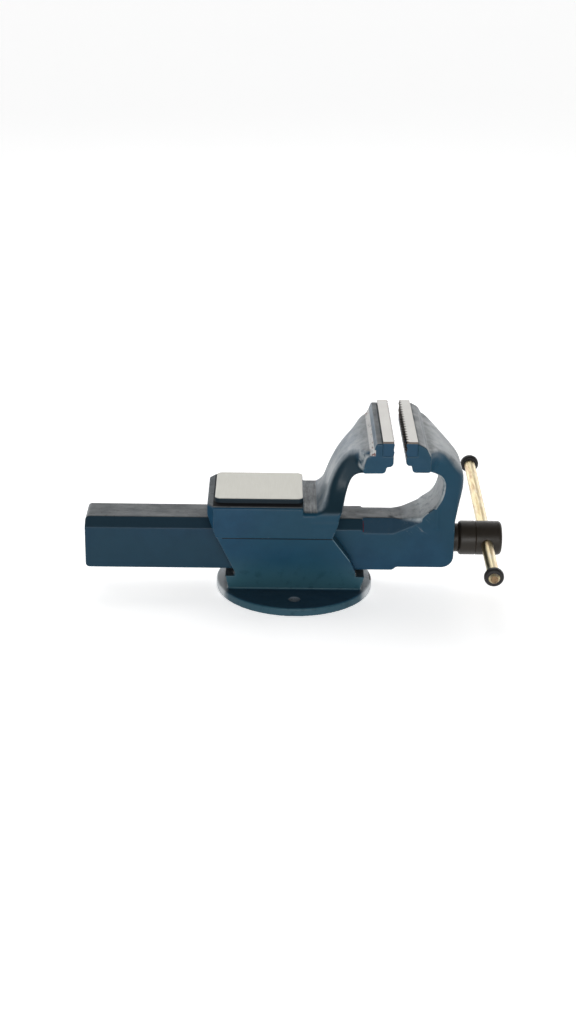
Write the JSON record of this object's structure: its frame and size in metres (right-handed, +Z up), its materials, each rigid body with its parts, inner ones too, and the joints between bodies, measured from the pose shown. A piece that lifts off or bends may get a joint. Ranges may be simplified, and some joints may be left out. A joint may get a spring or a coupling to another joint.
{
  "type": "bench vise",
  "caption": "Cast bench vise with a round bolt-down base, a small anvil, toothed jaw plates and a long sliding beam closed by a screw with a tommy bar.",
  "frame": {"origin": "centre of the round base's underside", "axes": "+X along the spindle towards its handle, +Y along the jaws, +Z up"},
  "size_m": [0.4952, 0.319, 0.2106],
  "materials": {
    "blue_casting": "semi-gloss blue enamel on rough casting",
    "jaw_steel": "ground and hardened",
    "bare_iron": "machined iron",
    "screw_steel": "oiled turned steel",
    "fastener_steel": "black oxide",
    "spring_steel": "oiled wire",
    "black_steel": "satin black",
    "yellow_zinc": "yellow zinc plate",
    "black_ring": "satin black"
  },
  "bodies": {
    "base": {"fixed_body": "blue_casting", "fixed_jaw_plate": "jaw_steel", "fixed_plate_screws": "fastener_steel", "spindle_nut": "bare_iron", "nut_screws": "fastener_steel", "nut_washers": "fastener_steel"},
    "slide": {"sliding_jaw": "blue_casting", "sliding_jaw_plate": "jaw_steel", "sliding_plate_screws": "fastener_steel"},
    "spindle": {"spindle_screw": "screw_steel", "spindle_head": "black_steel", "head_pin": "screw_steel", "thrust_collar": "black_steel", "spring_washer": "fastener_steel", "spindle_spring": "spring_steel", "spring_keeper": "screw_steel", "keeper_pin": "screw_steel"},
    "handle": {"handle_bar": "yellow_zinc", "near_handle_ring": "black_ring", "far_handle_ring": "black_ring"}
  },
  "joints": [
    {"name": "jaw_slide", "type": "slide", "parent": "base", "child": "slide", "axis": [1, 0, 0], "range_m": [-0.0127, 0.167]},
    {"name": "spindle_turn", "type": "hinge", "parent": "slide", "child": "spindle", "pos_m": [0, 0, 0.063], "axis": [1, 0, 0], "range_deg": [-914, 12020]},
    {"name": "handle_slide", "type": "slide", "parent": "spindle", "child": "handle", "axis": [0, 0.9966, 0.0819], "range_m": [-0.182, 0.072]}
  ],
  "couplings": [
    {"joint": "jaw_slide", "follows": "spindle_turn", "m_per_rad": 0.00079577}
  ]
}
